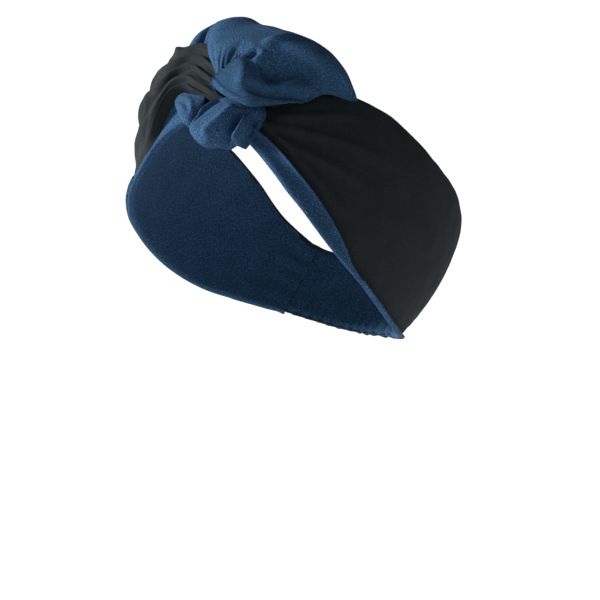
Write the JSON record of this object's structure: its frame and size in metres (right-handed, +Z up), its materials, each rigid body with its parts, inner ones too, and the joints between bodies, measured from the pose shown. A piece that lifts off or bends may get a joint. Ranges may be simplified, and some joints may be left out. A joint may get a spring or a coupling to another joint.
{
  "type": "knotted headband",
  "caption": "Wide double-faced cloth headband with a half knot of puffed loops at the top front and a ruched elastic casing at the nape.",
  "frame": {"origin": "middle of the head that the band goes round", "axes": "+Z up, the face looks along -Y so the knot is up and forward, +X is the wearer's left"},
  "size_m": [0.1572, 0.1626, 0.1772],
  "materials": {
    "black_cloth": "matt woven cotton, black",
    "blue_cloth": "matt chambray, indigo blue",
    "knitted_elastic": "knitted elastic, white",
    "sewing_thread": "polyester sewing thread, black"
  },
  "bodies": {
    "knot_and_right_strap": {"right_strap_shell": "black_cloth", "right_strap_lining": "blue_cloth", "crossing_strand": "black_cloth", "crossing_strand_backing": "blue_cloth", "upper_loop": "blue_cloth", "upper_loop_backing": "black_cloth", "lower_loop": "blue_cloth", "lower_loop_backing": "black_cloth", "side_tuck": "blue_cloth", "rear_fold": "blue_cloth", "knot_tack_stitches": "sewing_thread", "nape_casing_shell": "black_cloth", "nape_casing_lining": "blue_cloth", "nape_elastic": "knitted_elastic", "elastic_tacks": "sewing_thread", "right_casing_seam": "sewing_thread"},
    "left_strap": {"left_strap_shell": "black_cloth", "left_strap_lining": "blue_cloth", "left_casing_seam": "sewing_thread", "turning_gap_stitches": "sewing_thread"}
  },
  "joints": [
    {"name": "band_stretch", "type": "hinge", "parent": "knot_and_right_strap", "child": "left_strap", "pos_m": [0.0298, -0.0638, 0.049], "axis": [0, -0.7071, -0.7071], "range_deg": [0, 12], "stiffness_Nm_per_rad": 2}
  ]
}
